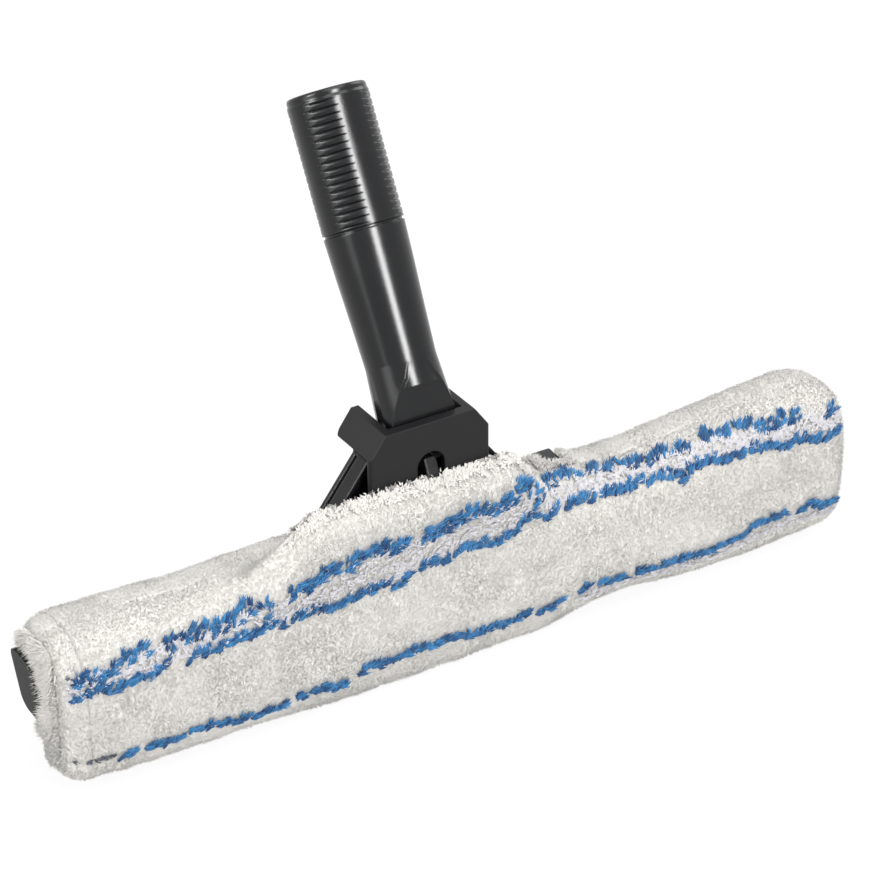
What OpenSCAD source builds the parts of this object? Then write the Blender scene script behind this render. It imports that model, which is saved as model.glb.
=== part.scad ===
// Window scrubber: a T-bar with a fleece sleeve and a handle that tilts on a cross pin.
// X runs along the bar, Y away from the front, Z up. The origin is on the sleeve's flat
// underside, below the middle of the bar. All sizes are millimetres.

/* [Sleeve] */
// How far the left end cap stands out of the sleeve's open end
cap_shows = 7; // [5:1:14]
// Free length inside the sleeve past the right end cap
toe_room = 20; // [8:1:30]
// Height of the sleeve where it is neither lifted nor sagging
sleeve_h = 61.6; // [56:0.2:70]
// Depth of the sleeve from front to back
sleeve_d = 43.5; // [38:0.5:52]
// How far the sleeve's underside is pressed flat
sleeve_flat = 1.5; // [0.5:0.1:2.5]
// Radius of the soft corners at the sleeve's ends
sleeve_end_r = 11; // [6:1:16]
// Width of the stitched hem at the open end
hem_w = 9; // [7:1:26]
// Groove between the hem and the rest of the pile
hem_groove = 0.6; // [0.3:0.1:1]
// Thickness of the lining that the pile is knitted on
lining_t = 1; // [0.6:0.1:1.6]
// Thickness of the closed end wall
end_wall = 9; // [6:1:14]
// Height of the lip that stands up in front of the housing
lip_h = 24; // [14:1:26]
// Left end of the raised lip
lip_left = -60; // [-64:1:-50]
// Right end of the raised lip
lip_right = 48; // [42:1:54]
// Width of the scrubbing yarn lines
yarn_w = 7; // [4:0.5:8]
// Thickness of the scrubbing yarn lines
yarn_t = 1.4; // [0.8:0.1:2]

/* [Closure] */
// Width of the closing strap
strap_w = 9; // [7:0.5:12]
// Thickness of the closing strap
strap_t = 1.2; // [0.8:0.1:2]
// Place of the strap along the bar
strap_x = 67; // [64:1:80]
// Distance of the strap's fixed end behind the bar's middle plane
strap_y = 3; // [1:0.5:5]
// Length of the strap that lies on the hook patch
strap_len = 8; // [6:0.5:9]
// Length of the strap's loose tip
tip_len = 4; // [2:0.5:5]
// Height of the strap's loose tip
tip_h = 0.5; // [0.3:0.1:4]
// Thickness of the hook patch under the strap
patch_t = 0.8; // [0.5:0.1:1.2]

/* [Crossbar] */
// Length of the tube between its end caps
bar_len = 322; // [300:2:330]
// Height of the tube
bar_h = 25; // [20:0.5:27]
// Depth of the tube from front to back
bar_t = 15; // [12:0.5:18]
// Wall of the tube
bar_wall = 1.6; // [1.2:0.1:2.2]
// Corner radius of the tube
bar_r = 4; // [2:0.5:5]
// Height of the tube's middle above the sleeve's underside
bar_z = 43; // [40:0.5:46]
// Thickness of the end cap's end wall
cap_t = 5; // [3:0.5:7]
// Wall of the end cap's skirt round the tube
cap_wall = 1.5; // [1:0.1:2]
// How much further the end wall's top stands out than its foot
cap_slant = 3.5; // [1:0.5:4]
// Length of the end cap's skirt on the tube
cap_len = 22; // [14:1:30]
// Clearance between the end cap's skirt and the tube
cap_gap = 0.1; // [0.05:0.05:0.2]
// Clearance between the end cap and the lining
lining_gap = 0.3; // [0.2:0.05:0.6]

/* [Yoke] */
// Thickness of the truss
yoke_t = 10.5; // [8:0.5:12]
// Slope of the truss's arms above the horizontal
yoke_slope = 52.7; // [50:0.1:56]
// Height of the point where the arms' lines would meet, above the neck
yoke_apex = 26; // [24:0.5:28]
// Width of an arm, square to its slope
arm_w = 14; // [11:0.5:17]
// Width of the rim round the arm's recessed face
rim_w = 2.6; // [1.8:0.1:3.5]
// Depth of the recess in the arm's face
recess = 1.6; // [0.8:0.1:2.5]
// Width of the groove along the arm's top
groove_w = 1.4; // [1:0.1:2]
// Thickness of the foot on the bar
foot_t = 3; // [2.5:0.25:4]
// Depth of the foot from front to back
foot_d = 12.6; // [11:0.2:14]
// Length of the foot past the end of each arm
foot_past = 4; // [3:0.5:6]
// Width of the upright in the middle of the truss
post_w = 5; // [4:0.5:8]
// Width of the snap tongue in front
tongue_w = 5; // [4:0.25:6]
// Height of the tongue's top below the neck
tongue_top = 6.2; // [5:0.2:8]
// Height of the tongue's catch below the neck
tongue_catch = 18; // [16:0.5:20]
// How far the tongue's top stands behind the housing's front
tongue_in = 1.2; // [0.5:0.1:2]
// Slope of the tongue's face off the vertical
tongue_lean = 25; // [15:1:30]
// How far the tongue's tip stands out past the housing's front
tongue_out = 1.8; // [0.5:0.1:2.2]

/* [Housing] */
// Height of the neck, where the housing's shoulders end, above the sleeve's underside
neck_z = 99; // [95:0.5:104]
// Width across the housing's flat top
hood_top_w = 38.8; // [37:0.2:42]
// Width across the housing's walls
hood_w = 52.6; // [50:0.2:56]
// Height of the sloping shoulders
shoulder_h = 9.5; // [8:0.5:11]
// Height of the walls below the shoulders
skirt_h = 23.5; // [22:0.5:26]
// Distance of the front wall from the bar's middle plane
hood_front = 12.84; // [12:0.1:14]
// Distance of the back wall from the bar's middle plane
hood_back = 13; // [11:0.1:14]
// Wall of the housing
hood_wall = 2.4; // [2:0.1:3]
// Radius of the housing's upright edges
hood_r = 2; // [1.5:0.5:4]
// Width of the arch slot
slot_w = 12; // [10:0.5:14]
// Distance of the arch's crown below the neck
slot_top = 3; // [2:0.5:5]
// Middle of the arch slot along the bar
slot_x = 0; // [-1:0.5:1]
// Clearance between the housing and the truss it sits on
seat_gap = 0.3; // [0.2:0.05:0.5]

/* [Hinge] */
// Diameter of the cross pin
pin_d = 5; // [4:0.5:6]
// Height of the pin above the neck
pin_up = 0.5; // [0:0.1:1]
// Distance of the pin in front of the bar's middle plane
pin_fwd = 3.5; // [3:0.1:4]
// Radius of the ears and of the handle's knuckle
ear_r = 5.8; // [5.4:0.1:6]
// Thickness of each ear
ear_t = 2.8; // [2.4:0.1:3]
// Thickness of the friction washers
washer_t = 0.6; // [0.4:0.05:0.8]
// Radius of the friction washers
washer_r = 5; // [4:0.1:5.4]
// Radius of the pin's head and of its clip
head_r = 3.6; // [3.2:0.1:3.7]
// Thickness of the pin's head
head_t = 1.2; // [0.8:0.1:1.3]
// Thickness of the pin's clip
clip_t = 0.8; // [0.5:0.1:1]
// Wall of the bushes in the knuckle
bush_wall = 1; // [0.8:0.1:1.4]
// Length of each bush
bush_len = 9; // [6:0.5:12]
// Running clearance of the pin in its bushes, on the radius
run_gap = 0.05; // [0.02:0.01:0.09]
// Clearance of the pin in the ears, on the radius
ear_gap = 0.03; // [0.02:0.01:0.05]
// Gap between parts that move past each other
side_gap = 0.3; // [0.25:0.05:0.5]

/* [Handle] */
// Lean of the handle off the vertical, as shown
lean = 29.9; // [27:0.1:32]
// Length from the pin to the handle's top
handle_len = 132.6; // [124:0.2:150]
// Distance of the handle's axis in front of the pin
axis_fwd = 2.1; // [1.5:0.1:2.5]
// Width of the handle's root
root_w = 30; // [29:0.2:30.4]
// Radius just above the root
stem_r = 13.6; // [13:0.1:14.5]
// Radius of the grip
grip_r = 15.8; // [15:0.1:17]
// Radius of the rim at the top
rim_r = 15.4; // [14.6:0.1:16.4]
// Height of the plain rim above the ribs
rim_h = 4.1; // [3:0.1:8]
// Number of ribs in each panel
rib_n = 17; // [12:1:18]
// Distance from rib to rib
rib_pitch = 2.8; // [2.4:0.05:3]
// Depth of the grooves between the ribs
rib_depth = 0.9; // [0.5:0.05:1.2]
// Turn of the rib panels off the handle's corners, in degrees
panel_turn = 5; // [0:1:10]
// Distance of the panels' own axis behind the handle's, which lets the ribs fade out
panel_shift = 22; // [16:1:30]
// Radius of the pole socket
socket_r = 11.2; // [10:0.1:12]
// Depth of the pole socket
socket_len = 78; // [60:1:90]
// Height above the neck where the root's front starts
facet_up = 9.5; // [8:0.5:11]
// Distance of the root's front from the bar's middle plane at that height
facet_fwd = 8.2; // [7.5:0.1:8.4]
// Lean of the root's flat front off the vertical
facet_lean = 9.4; // [5:0.1:14]

/* [Hidden] */
$fn = 64;
cut = 1;                       // how far a cutting shape runs past what it cuts
grey = [0.23, 0.23, 0.24];
black = [0.08, 0.08, 0.09];
steel = [0.75, 0.76, 0.78];
white = [0.9, 0.89, 0.86];
blue = [0.16, 0.42, 0.68];

// Sleeve
x_left = cap_shows - bar_len / 2 - cap_t;
x_right = bar_len / 2 + cap_t + toe_room + end_wall;
hem_x = x_left + hem_w;
round_top = 3;                 // squareness of the section's upper half
round_low = 4;                 // squareness of its lower half
ring_n = 40;
ring_pitch = 12;               // greatest distance between rings along the sleeve
rise_pitch = 2;                // the same where the lip rises
end_pitch = 2.2;               // the same round the soft corners of the closed end
lip_rise = 16;                 // length over which the lip rises
lip_dir = 135;                 // direction of the lip's crest round the section
lip_arc = 30;                  // half the lip's spread round the section
// How much the sleeve stands above its plain top, along the bar
lift = [[-160, 1.8], [-120, 0.7], [-100, -0.4], [-50, 0.6], [55, -1], [90, -4.2], [105, -4.2],
        [125, -2], [150, 0.5], [180, 2.8], [200, 2]];
// How much it sags below its plain underside, along the bar
sag = [[-160, -2.4], [-120, -0.2], [-75, 0.7], [-45, 3], [0, 3.5], [50, 3], [62, 0], [80, -2.8],
       [92, -2.8], [105, -0.7], [120, 1.2], [150, 1.2], [180, -0.5], [200, -1]];
sleeve_mid_z = sleeve_h / 2 + max([for (q = sag) q[1]]) - sleeve_flat;
yarn_gap = 0.5;                // free space between the yarn lines and the pile
yarn_in = 4;                   // distance of the lines' right ends from the closed end
yarn_start = [4, 3, 19];       // distance of each line's left end from the open end
// Directions of the three yarn lines round the section, along the bar
yarn_upper = [[-155, 149], [-139, 145], [-107, 142], [-73, 135], [-60, 133], [-56, 140], [-52, 151],
              [-47, 156], [-20, 155.5], [12, 154.5], [32, 154], [37, 147], [41, 131], [45, 117],
              [50, 106], [58, 100], [77, 99], [94, 105], [113, 108], [131, 113], [149, 122], [168, 129],
              [187, 132]];
yarn_middle = [[-155, 165], [-141, 163], [-109, 162], [-75, 158], [-60, 158], [-56, 160], [-50, 161.6],
               [-40, 162], [-24, 161.8], [-6, 160.3], [32, 159.5], [38, 157.2], [44, 149], [50, 138],
               [58, 135], [69, 135], [89, 133], [107, 137], [126, 139], [145, 145], [165, 153],
               [185, 155]];
yarn_lower = [[-127, 198], [-94, 203], [-60, 201], [-25, 194], [-7, 192], [30, 195], [67, 194],
              [87, 199], [126, 197], [145, 191], [166, 188], [187, 196]];

// Height of the seat of the hook patch, pressed into the pile
patch_z = sleeve_mid_z + sleeve_h / 2 + lookup(strap_x, lift) - 2.4;

// Crossbar and what sits on it
bar_top = bar_z + bar_h / 2;
cap_x = bar_len / 2;
cap_out = cap_gap + cap_wall;
cap_run = cut * (bar_h + 2 * cap_out) / cap_slant;
lining_in = cap_out + lining_gap;
lining_seat = 0.05;            // free space between the lining and the pile
foot_z = bar_top + foot_t;
tan_slope = tan(yoke_slope);
apex_z = neck_z + yoke_apex;
foot_half = (apex_z - foot_z) / tan_slope + foot_past;
slit_gap = 0.8;                // free space round the foot and the truss in the sleeve
rivet_r = 1.75;
rivet_h = 1.3;                 // height of the rivets' heads
rivet_x = [18, foot_half - foot_past + 0.5];

// Housing
hood_top = neck_z + shoulder_h;
hood_low = neck_z - skirt_h;
opening_half = root_w / 2 + 1.2;
opening_front = facet_fwd + 0.35;
shoulder_run = (hood_w - hood_top_w) / 2;
shoulder_len = norm([shoulder_run, shoulder_h]);
slot_low = tongue_catch + seat_gap;

// Hinge
pin_y = -pin_fwd;
pin_z = neck_z + pin_up;
ear_in = root_w / 2 + side_gap + washer_t;
ear_out = ear_in + ear_t;
bush_r = pin_d / 2 + run_gap + bush_wall;

// Handle
rib_top = handle_len - rim_h;
rib_low = rib_top - rib_n * rib_pitch;
panel_half = 13;               // half the spread of a panel's cut round its own axis
stem_low = 24;                 // where the round stem starts above the pin
root_low = 1.5;                // where the root starts above the pin
root_top = 30;                 // where the root has faded into the round stem
root_back = 10.9;              // reach of the root behind the pin
root_fwd = 12;                 // reach of the root in front of the pin
root_r = 15.4;                 // radius that rounds the root's corners at the pin
knuckle_in = 0.3;              // knuckle's ends inside the root's sides
swing_r = root_back + 1.6;     // free radius round the pin

function smooth(t) = t <= 0 ? 0 : t >= 1 ? 1 : t * t * (3 - 2 * t);
function spow(v, e) = sign(v) * pow(abs(v), e);
function lip(x) = lip_h * smooth((x - lip_left) / lip_rise) * smooth((lip_right - x) / lip_rise);
function lip_part(a) = smooth(1 - max(0, abs(a - lip_dir) - lip_arc / 2) / (lip_arc / 2));
// Ends are drawn in along a quarter round
function end_in(x, r) = let (d = min(x - x_left, x_right - x))
    d >= r ? 0 : r - sqrt(max(0, r * r - pow(r - d, 2)));
// A point of the sleeve's surface at place x and direction a, moved out by grow
function skin(x, a, grow = 0) =
    let (s = sin(a), in = 0.6 * end_in(x, sleeve_end_r) - grow,
         half_d = sleeve_d / 2 - in,
         half_h = sleeve_h / 2 - in + (s >= 0 ? lookup(x, lift) : lookup(x, sag)),
         e = 2 / (s >= 0 ? round_top : round_low))
    [x, half_d * spow(cos(a), e), sleeve_mid_z + half_h * spow(s, e) + lip(x) * lip_part(a)];
// Evenly spaced places after a, up to b, no further apart than pitch
function spread(a, b, pitch) = let (n = ceil((b - a) / pitch)) [for (i = [1:n]) a + (b - a) * i / n];
// Places of the rings along the whole sleeve
function all_rings() = concat(
    spread(x_left, hem_x, end_pitch * 2), spread(hem_x, lip_left, ring_pitch),
    spread(lip_left, lip_left + lip_rise, rise_pitch),
    spread(lip_left + lip_rise, lip_right - lip_rise, ring_pitch),
    spread(lip_right - lip_rise, lip_right, rise_pitch),
    spread(lip_right, x_right - end_wall - 2 * end_pitch, ring_pitch),
    spread(x_right - end_wall - 2 * end_pitch, x_right, end_pitch));
// The ones between x0 and x1, with both of these
function rings_in(x0, x1) =
    concat([x0], [for (x = all_rings()) if (x > x0 + 0.5 && x < x1 - 0.5) x], [x1]);

// Solid between rings of points that all have the same number of points
module loft(rings) {
    n = len(rings[0]);
    m = len(rings);
    points = [for (ring = rings) each ring];
    sides = [for (i = [0:m - 2], j = [0:n - 1], k = [0, 1])
        let (a = i * n + j, b = i * n + (j + 1) % n, c = a + n, d = b + n)
        k == 0 ? [a, b, d] : [a, d, c]];
    first = [[for (j = [0:n - 1]) n - 1 - j]];
    last = [[for (j = [0:n - 1]) (m - 1) * n + j]];
    polyhedron(points, concat(sides, first, last), convexity = 10);
}

// Rectangle with round corners
module round_rect(w, h, r) {
    square([w - 2 * r, h], center = true);
    square([w, h - 2 * r], center = true);
    for (i = [-1, 1], j = [-1, 1]) translate([i * (w / 2 - r), j * (h / 2 - r)]) circle(r);
}

// Bar along X with the tube's section, grown by more
module bar_shape(x0, x1, more) {
    translate([x0, 0, bar_z]) rotate([90, 0, 90])
        linear_extrude(x1 - x0) round_rect(bar_t + 2 * more, bar_h + 2 * more, bar_r + more);
}

module cyl_x(r, x0, x1) {
    translate([x0, 0, 0]) rotate([0, 90, 0]) cylinder(r = r, h = x1 - x0);
}

module at_pin() {
    translate([0, pin_y, pin_z]) children();
}

// The handle's own frame: origin on the pin, Z along the handle
module handle_frame() {
    at_pin() rotate([-lean, 0, 0]) children();
}

module crossbar() color(steel) difference() {
    bar_shape(-bar_len / 2, bar_len / 2, 0);
    bar_shape(-bar_len / 2 - cut, bar_len / 2 + cut, -bar_wall);
    for (x = rivet_x, s = [-1, 1]) translate([s * x, 0, bar_z]) cylinder(r = rivet_r, h = bar_h);
}

// End wall and skirt of one cap, drawn for the right end
module end_cap() color(black) difference() {
    bar_shape(cap_x - cap_len, cap_x + cap_t, cap_out);
    bar_shape(cap_x - cap_len - cut, cap_x, cap_gap);
    // Slanting end
    upright(2 * bar_h) polygon([
        [cap_x + cap_t - cap_slant - cut, bar_z - bar_h / 2 - cap_out - cap_run],
        [cap_x + cap_t + cut, bar_z + bar_h / 2 + cap_out + cap_run],
        [cap_x + cap_t + 2 * cap_slant, bar_z], [cap_x + cap_t + 2 * cap_slant, bar_z - bar_h]]);
}

module end_cap_left() mirror([1, 0, 0]) end_cap();
module end_cap_right() end_cap();

// Outline of the truss's arms between two distances from their outer slope
module arm_band(from, to, low, high) {
    shift0 = from / sin(yoke_slope);
    shift1 = to / sin(yoke_slope);
    for (s = [-1, 1]) polygon([for (q = [[shift0, low], [shift0, high], [shift1, high], [shift1, low]])
        [s * ((apex_z - q[1]) / tan_slope - q[0]), q[1]]]);
}

module truss_outline() {
    polygon([[-foot_half + foot_past, foot_z], [-(apex_z - pin_z - ear_r) / tan_slope, pin_z + ear_r],
             [(apex_z - pin_z - ear_r) / tan_slope, pin_z + ear_r], [foot_half - foot_past, foot_z]]);
}

module upright(t, y = 0) {
    translate([0, y + t / 2, 0]) rotate([90, 0, 0]) linear_extrude(t) children();
}

module tongue() {
    top = neck_z - tongue_top;
    low = neck_z - tongue_catch;
    y0 = -hood_front + tongue_in;
    y1 = -hood_front - tongue_out;
    knee = top - (y0 - y1) / tan(tongue_lean);
    translate([-tongue_w / 2, 0, 0]) rotate([90, 0, 90]) linear_extrude(tongue_w)
        polygon([[y0, top], [y1, knee], [y1, low], [-yoke_t / 2 + cut, low],
                 [-yoke_t / 2 + cut, top - 5.5], [y0 + 3.6, top]]);
}

module yoke() color(grey) {
    tongue();
    truss();
}

module truss() {
    window_low = foot_z + 1.5;
    window_high = hood_low - 1;
    inner = arm_w / sin(yoke_slope);
    difference() {
        union() {
            upright(yoke_t) truss_outline();
            at_pin() for (s = [0, 1]) mirror([s, 0, 0]) cyl_x(ear_r, ear_in, ear_out);
            translate([-foot_half, -foot_d / 2, bar_top]) cube([2 * foot_half, foot_d, foot_t]);
        }
        // Room between the ears for the handle's knuckle
        at_pin() cyl_x(swing_r, -ear_in, ear_in);
        translate([-ear_in, -yoke_t, pin_z]) cube([2 * ear_in, 2 * yoke_t, 2 * ear_r]);
        // Outside of the ears, below the housing's shoulders
        for (s = [0, 1]) mirror([s, 0, 0])
            translate([ear_out, -yoke_t, neck_z - 4]) cube([ear_out, 2 * yoke_t, 4 + 2 * ear_r]);
        at_pin() cyl_x(pin_d / 2 + ear_gap, -ear_out - cut, ear_out + cut);
        // Windows each side of the upright
        upright(2 * yoke_t) for (s = [-1, 1]) polygon([
            [s * post_w / 2, window_low], [s * post_w / 2, window_high],
            [s * ((apex_z - window_high) / tan_slope - inner), window_high],
            [s * ((apex_z - window_low) / tan_slope - inner), window_low]]);
        // Recessed front and back faces of the arms
        for (s = [-1, 1]) upright(2 * recess, s * yoke_t / 2)
            arm_band(rim_w, arm_w - rim_w, foot_z + 2, neck_z - 8);
        // Groove along the top of each arm
        upright(groove_w, yoke_t / 2 - 2 * groove_w) arm_band(-cut, groove_w, foot_z + 2, neck_z - 5);
        for (x = rivet_x, s = [-1, 1])
            translate([s * x, 0, bar_top - cut]) cylinder(r = rivet_r, h = foot_t + 2 * cut);
        // Seats for the rivets' heads
        for (x = rivet_x, s = [-1, 1]) translate([s * x, 0, foot_z]) cylinder(r = rivet_r + 2, h = 3);
    }
}

module bar_rivets() color(steel) for (x = rivet_x, s = [-1, 1]) translate([s * x, 0, 0]) {
    translate([0, 0, bar_top - bar_wall - 0.6]) cylinder(r = rivet_r - ear_gap, h = bar_wall + foot_t + 1);
    translate([0, 0, foot_z]) cylinder(r1 = rivet_r + 1.4, r2 = rivet_r, h = rivet_h);
    translate([0, 0, bar_top - bar_wall - 1.2]) cylinder(r = rivet_r + 1, h = 1.2);
}

// Front view of the housing, drawn in by t on every side
module hood_outline(t) {
    nx = shoulder_h / shoulder_len;
    nz = shoulder_run / shoulder_len;
    side = hood_w / 2 - t;
    far = nx * hood_w / 2 - t;
    top = shoulder_h - t;
    top_x = (far - nz * top) / nx;
    turn_z = (far - nx * side) / nz;
    low = -skirt_h - (t > 0 ? cut : 0);
    translate([0, neck_z])
        polygon([[-side, low], [side, low], [side, turn_z], [top_x, top], [-top_x, top], [-side, turn_z]]);
}

module housing() color(grey) {
    depth = hood_front + hood_back;
    mid = (hood_back - hood_front) / 2;
    difference() {
        intersection() {
            upright(depth, mid) hood_outline(0);
            translate([0, mid, hood_low]) linear_extrude(skirt_h + shoulder_h)
                round_rect(hood_w, depth, hood_r);
        }
        upright(depth - 2 * hood_wall, mid) hood_outline(hood_wall);
        // Open sides below the shoulders, where the arms leave
        translate([-hood_w, -hood_front + hood_wall, hood_low - cut])
            cube([2 * hood_w, depth - 2 * hood_wall, skirt_h + cut]);
        // Opening for the handle's root, in the top and down the back
        translate([-opening_half, -opening_front, neck_z])
            cube([2 * opening_half, depth, shoulder_h + cut]);
        translate([-opening_half, hood_back - 2 * hood_wall, neck_z - 6])
            cube([2 * opening_half, 3 * hood_wall, 6 + cut]);
        // Back wall clear of the arms
        for (s = [0, 1]) mirror([s, 0, 0]) translate([opening_half + 2.8, 0, hood_low - cut])
            cube([hood_w, hood_back + cut, skirt_h + cut]);
        // Arch slot in front
        upright(2 * hood_wall + cut, -hood_front + hood_wall / 2) {
            translate([slot_x, neck_z - slot_top - slot_w / 2]) circle(slot_w / 2);
            translate([slot_x - slot_w / 2, neck_z - slot_low])
                square([slot_w, slot_low - slot_top - slot_w / 2]);
        }
    }
}

module hinge_pin() color(steel) at_pin() {
    cyl_x(pin_d / 2, -ear_out - cut / 2, ear_out + clip_t + 0.6);
    cyl_x(head_r, -ear_out - head_t, -ear_out);
}

module pin_clip() color(steel) at_pin() difference() {
    cyl_x(head_r, ear_out, ear_out + clip_t);
    cyl_x(pin_d / 2 + ear_gap, ear_out - cut, ear_out + clip_t + cut);
}

module friction_washers() color(black) at_pin() for (s = [0, 1]) mirror([s, 0, 0]) difference() {
    cyl_x(washer_r, ear_in - washer_t, ear_in);
    cyl_x(pin_d / 2 + ear_gap, ear_in - washer_t - cut, ear_in + cut);
}

// The sleeve's full outer form between two places along the bar
module sleeve_form(rings) {
    loft([for (x = rings) [for (j = [0:ring_n - 1]) skin(x, 360 * j / ring_n)]]);
}

module below_floor() {
    translate([x_left - cut, -sleeve_d, -sleeve_h]) cube([x_right - x_left + 2 * cut, 2 * sleeve_d, sleeve_h]);
}

// Pocket for the yoke's foot and the slit above it, which follows the truss's slopes
module slit() {
    foot_free = foot_z + rivet_h + slit_gap;
    arm_x = (apex_z - foot_free) / tan_slope + slit_gap / sin(yoke_slope);
    top_x = (apex_z - neck_z) / tan_slope + slit_gap / sin(yoke_slope);
    translate([-foot_half - slit_gap, -foot_d / 2 - slit_gap, bar_z])
        cube([2 * (foot_half + slit_gap), foot_d + 2 * slit_gap, foot_free - bar_z]);
    upright(yoke_t + 2 * slit_gap) polygon([[-arm_x, foot_free - cut], [arm_x, foot_free - cut],
        [arm_x, foot_free], [top_x, neck_z], [-top_x, neck_z], [-arm_x, foot_free]]);
}

module sleeve_pile() color(white) difference() {
    sleeve_form(rings_in(hem_x + hem_groove, x_right - end_wall));
    below_floor();
    bar_shape(hem_x - cut, x_right, lining_in + lining_t + lining_seat);
    slit();
    // Room for the housing behind the lip
    translate([-hood_w / 2 - 4, -hood_front - seat_gap, hood_low - 3])
        cube([hood_w + 8, hood_front + sleeve_d, sleeve_h]);
    translate([-tongue_w / 2 - 2 * seat_gap, -hood_front - tongue_out - 2 * seat_gap, neck_z - slot_low - 1])
        cube([tongue_w + 4 * seat_gap, hood_front, sleeve_h]);
    // Seat of the hook patch
    translate([strap_x - strap_w / 2 - 1, strap_y - 1, patch_z])
        cube([strap_w + 2, strap_len + tip_len, sleeve_h]);
}

module sleeve_hem() color(white) difference() {
    sleeve_form(rings_in(x_left, hem_x));
    below_floor();
    bar_shape(x_left - cut, hem_x + cut, lining_in + lining_t + lining_seat);
}

module end_panel() color(white) difference() {
    sleeve_form(rings_in(x_right - end_wall, x_right));
    below_floor();
}

module sleeve_lining() color(white) difference() {
    bar_shape(x_left + 1, x_right - end_wall, lining_in + lining_t);
    bar_shape(x_left - cut, x_right - end_wall - lining_t, lining_in);
    slit();
}

// One line of yarn lying on the sleeve along the directions in dirs
module yarn_line(dirs, start) {
    color(blue) loft([for (x = rings_in(x_left + start, x_right - yarn_in))
        let (a = lookup(x, dirs), half = yarn_w / norm(skin(x, a + 1) - skin(x, a - 1)))
        concat([for (t = [-1, 0, 1]) skin(x, a + t * half, yarn_gap)],
               [for (t = [1, 0, -1]) skin(x, a + t * half, yarn_gap + yarn_t)])]);
}

module scrub_yarn_upper() yarn_line(yarn_upper, yarn_start[0]);
module scrub_yarn_middle() yarn_line(yarn_middle, yarn_start[1]);
module scrub_yarn_lower() yarn_line(yarn_lower, yarn_start[2]);

module hook_patch() color(black)
    translate([strap_x - strap_w / 2, strap_y, patch_z]) cube([strap_w, strap_len, patch_t]);

module closure_strap() color(black)
    translate([strap_x - strap_w / 2, strap_y, patch_z + patch_t]) rotate([90, 0, 90])
        linear_extrude(strap_w) polygon([
            [0, 0], [strap_len, 0], [strap_len + tip_len, tip_h], [strap_len + tip_len, tip_h + strap_t],
            [strap_len - 0.4, strap_t], [0, strap_t]]);

// Half section of the handle's round body: radius against height above the pin
module stem_section() {
    polygon([[0, stem_low - 6], [stem_r - 0.3, stem_low - 6], [stem_r, stem_low],
             [stem_r + 0.7, stem_low + 20], [grip_r - 0.6, stem_low + 40],
             [grip_r - 0.1, rib_low - 3], [grip_r - 0.1, rib_low - 2],
             [grip_r - 0.8, rib_low - 1.8], [grip_r - 0.8, rib_low - 1], [grip_r, rib_low - 0.7],
             [grip_r, rib_top + 0.5], [rim_r, rib_top + 1.5], [rim_r, handle_len - 1.2],
             [rim_r - 0.4, handle_len - 0.35], [rim_r - 1.2, handle_len], [0, handle_len]]);
}

// What is cut away in one rib panel: the space outside a row of round ribs
module rib_section() {
    far = grip_r + panel_shift;
    polygon(concat(
        [for (i = [0:rib_n - 1], a = [0:30:180])
            [far - rib_depth - 0.1 + rib_depth * sin(a), rib_low + (i + 0.5 - 0.48 * cos(a)) * rib_pitch]],
        [[far + 2, rib_top], [far + 2, rib_low]]));
}

// Lower end of the handle: a block with round corners that fades into the stem, flat in front
module root() {
    far = 3 * root_w;
    difference() {
        handle_frame() intersection() {
            translate([-root_w, 0, 0]) rotate([90, 0, 90]) linear_extrude(2 * root_w)
                polygon([[-root_fwd, root_low], [root_back, root_low], [stem_r - axis_fwd, root_top],
                         [-stem_r - axis_fwd, root_top]]);
            upright(far) polygon([[-root_w / 2, root_low], [root_w / 2, root_low],
                                  [stem_r, root_top], [-stem_r, root_top]]);
            translate([0, -axis_fwd, 0]) cylinder(r1 = root_r, r2 = stem_r, h = root_top);
        }
        // Flat front of the root: upright in the housing's opening, leaning above it
        translate([-root_w, 0, neck_z]) rotate([90, 0, 90]) linear_extrude(2 * root_w)
            polygon([[-facet_fwd, -root_w], [-facet_fwd, facet_up],
                     [-facet_fwd + far * sin(facet_lean), facet_up + far * cos(facet_lean)],
                     [-facet_fwd - far, facet_up + far], [-facet_fwd - far, -root_w]]);
    }
}

module handle() color(grey) difference() {
    union() {
        handle_frame() translate([0, -axis_fwd, 0]) difference() {
            rotate_extrude() stem_section();
            for (q = [45:90:315]) rotate([0, 0, q + panel_turn]) translate([-panel_shift, 0, 0])
                rotate([0, 0, -panel_half]) rotate_extrude(angle = 2 * panel_half) rib_section();
        }
        root();
        at_pin() cyl_x(ear_r, -root_w / 2 + knuckle_in, root_w / 2 - knuckle_in);
    }
    at_pin() cyl_x(bush_r, -root_w, root_w);
    handle_frame() translate([0, -axis_fwd, handle_len - socket_len])
        cylinder(r = socket_r, h = socket_len + cut);
}

module hinge_bushes() color(steel) at_pin() for (s = [0, 1]) mirror([s, 0, 0]) difference() {
    cyl_x(bush_r, root_w / 2 - bush_len, root_w / 2);
    cyl_x(pin_d / 2 + run_gap, root_w / 2 - bush_len - cut, root_w / 2 + cut);
}

crossbar();
end_cap_left();
end_cap_right();
yoke();
bar_rivets();
housing();
hinge_pin();
pin_clip();
friction_washers();
sleeve_pile();
sleeve_lining();
sleeve_hem();
end_panel();
scrub_yarn_upper();
scrub_yarn_middle();
scrub_yarn_lower();
closure_strap();
hook_patch();
handle();
hinge_bushes();
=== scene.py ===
"""Looks for a window scrubber: a fleece sleeve on a T-bar, with a tilting ribbed handle.

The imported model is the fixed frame. The script is laid out as a Blender add-on: each operator
makes one piece or one group of like pieces, and main() runs them in order. Lengths in the
formulas are millimetres, and a mesh is written in metres.
"""

import math

import bpy
import numpy as np
from bpy.props import FloatProperty, FloatVectorProperty, IntProperty, PointerProperty
from mathutils import Matrix, Vector


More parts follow.
